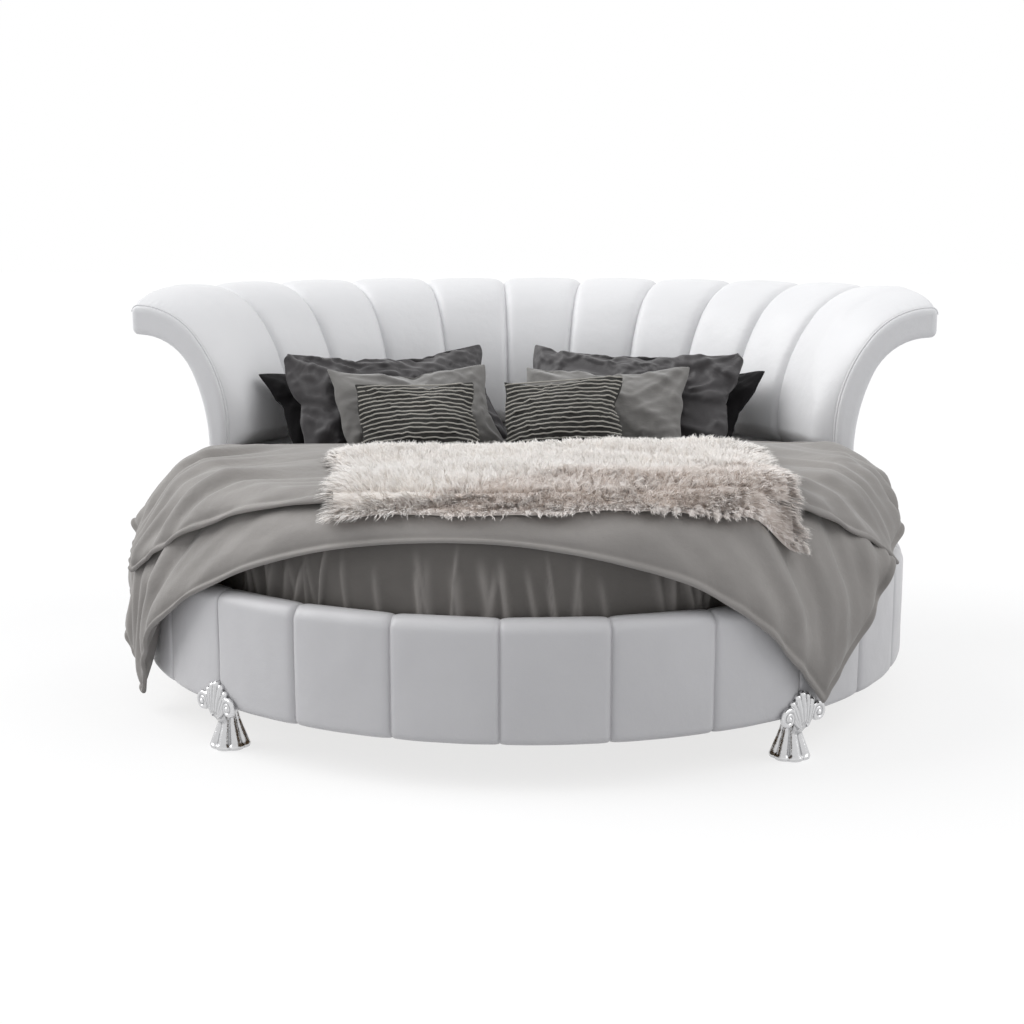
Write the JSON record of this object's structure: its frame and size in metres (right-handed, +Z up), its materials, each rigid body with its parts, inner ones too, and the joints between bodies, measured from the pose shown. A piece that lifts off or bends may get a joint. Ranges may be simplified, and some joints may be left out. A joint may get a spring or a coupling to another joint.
{
  "type": "round upholstered bed",
  "caption": "Round bed with a channelled, flared wraparound headboard, fluted padded base, cast scroll feet, mattress, folded duvet, fur throw and piled cushions.",
  "frame": {"origin": "on the round base's axis at floor level, at the centre glide's underside", "axes": "+Z up, -Y towards the open front of the bed, +Y towards the middle of the headboard, +X to the right as seen from the front"},
  "size_m": [2.6004, 2.49, 1.173],
  "materials": {
    "bent_plywood": "unfinished plywood, bent and glued in layers",
    "solid_timber": "planed softwood, unfinished",
    "white_leatherette": "soft white synthetic leather, satin, padded",
    "zinc_plated_steel": "zinc plated",
    "glide_steel": "plain steel, turned",
    "cast_foot": "polished casting with darker recesses",
    "mattress_ticking": "woven ticking over foam and springs",
    "grey_sheet": "washed cotton, matt",
    "grey_duvet": "washed cotton over filling, matt",
    "cream_fur": "long pile fur, cream and beige",
    "grey_satin": "crumpled satin weave, dark grey",
    "mid_grey_cotton": "washed cotton, mid grey",
    "charcoal_stripe": "charcoal cloth with thin raised off-white cords",
    "charcoal_cotton": "matt charcoal cotton"
  },
  "bodies": {
    "bed": {"centre_beam": "solid_timber", "duvet": "grey_duvet", "fitted_sheet": "grey_sheet", "front_left_foot": "cast_foot", "front_rail_core": "bent_plywood", "front_rail_cover": "white_leatherette", "front_right_foot": "cast_foot", "fur_throw": "cream_fur", "headboard_back_cover": "white_leatherette", "headboard_bolts": "zinc_plated_steel", "headboard_bottom_rail": "bent_plywood", "headboard_channels": "white_leatherette", "headboard_front_skin": "bent_plywood", "headboard_left_end": "white_leatherette", "headboard_nose_rail": "bent_plywood", "headboard_ribs": "bent_plywood", "headboard_right_end": "white_leatherette", "headboard_spacers": "solid_timber", "ledgers": "solid_timber", "left_middle_cushion": "mid_grey_cotton", "left_rail_core": "bent_plywood", "left_rail_cover": "white_leatherette", "left_sham": "grey_satin", "left_side_cushion": "charcoal_cotton", "left_striped_cushion": "charcoal_stripe", "mattress": "mattress_ticking", "rail_bolts": "zinc_plated_steel", "rear_ledger": "solid_timber", "rear_left_foot": "cast_foot", "rear_rail_core": "bent_plywood", "rear_rail_cover": "white_leatherette", "rear_right_foot": "cast_foot", "right_middle_cushion": "mid_grey_cotton", "right_rail_core": "bent_plywood", "right_rail_cover": "white_leatherette", "right_sham": "grey_satin", "right_side_cushion": "charcoal_cotton", "right_striped_cushion": "charcoal_stripe", "side_beams": "solid_timber", "slats": "solid_timber", "support_legs": "solid_timber"},
    "centre_glide": {"centre_glide": "glide_steel"},
    "front_left_glide": {"front_left_glide": "glide_steel"},
    "front_right_glide": {"front_right_glide": "glide_steel"},
    "rear_left_glide": {"rear_left_glide": "glide_steel"},
    "rear_right_glide": {"rear_right_glide": "glide_steel"}
  },
  "joints": [
    {"name": "centre_glide_screw", "type": "slide", "parent": "bed", "child": "centre_glide", "axis": [0, 0, -1], "range_m": [0, 0.012]},
    {"name": "front_left_glide_screw", "type": "slide", "parent": "bed", "child": "front_left_glide", "axis": [0, 0, -1], "range_m": [0, 0.012]},
    {"name": "front_right_glide_screw", "type": "slide", "parent": "bed", "child": "front_right_glide", "axis": [0, 0, -1], "range_m": [0, 0.012]},
    {"name": "rear_left_glide_screw", "type": "slide", "parent": "bed", "child": "rear_left_glide", "axis": [0, 0, -1], "range_m": [0, 0.012]},
    {"name": "rear_right_glide_screw", "type": "slide", "parent": "bed", "child": "rear_right_glide", "axis": [0, 0, -1], "range_m": [0, 0.012]}
  ]
}
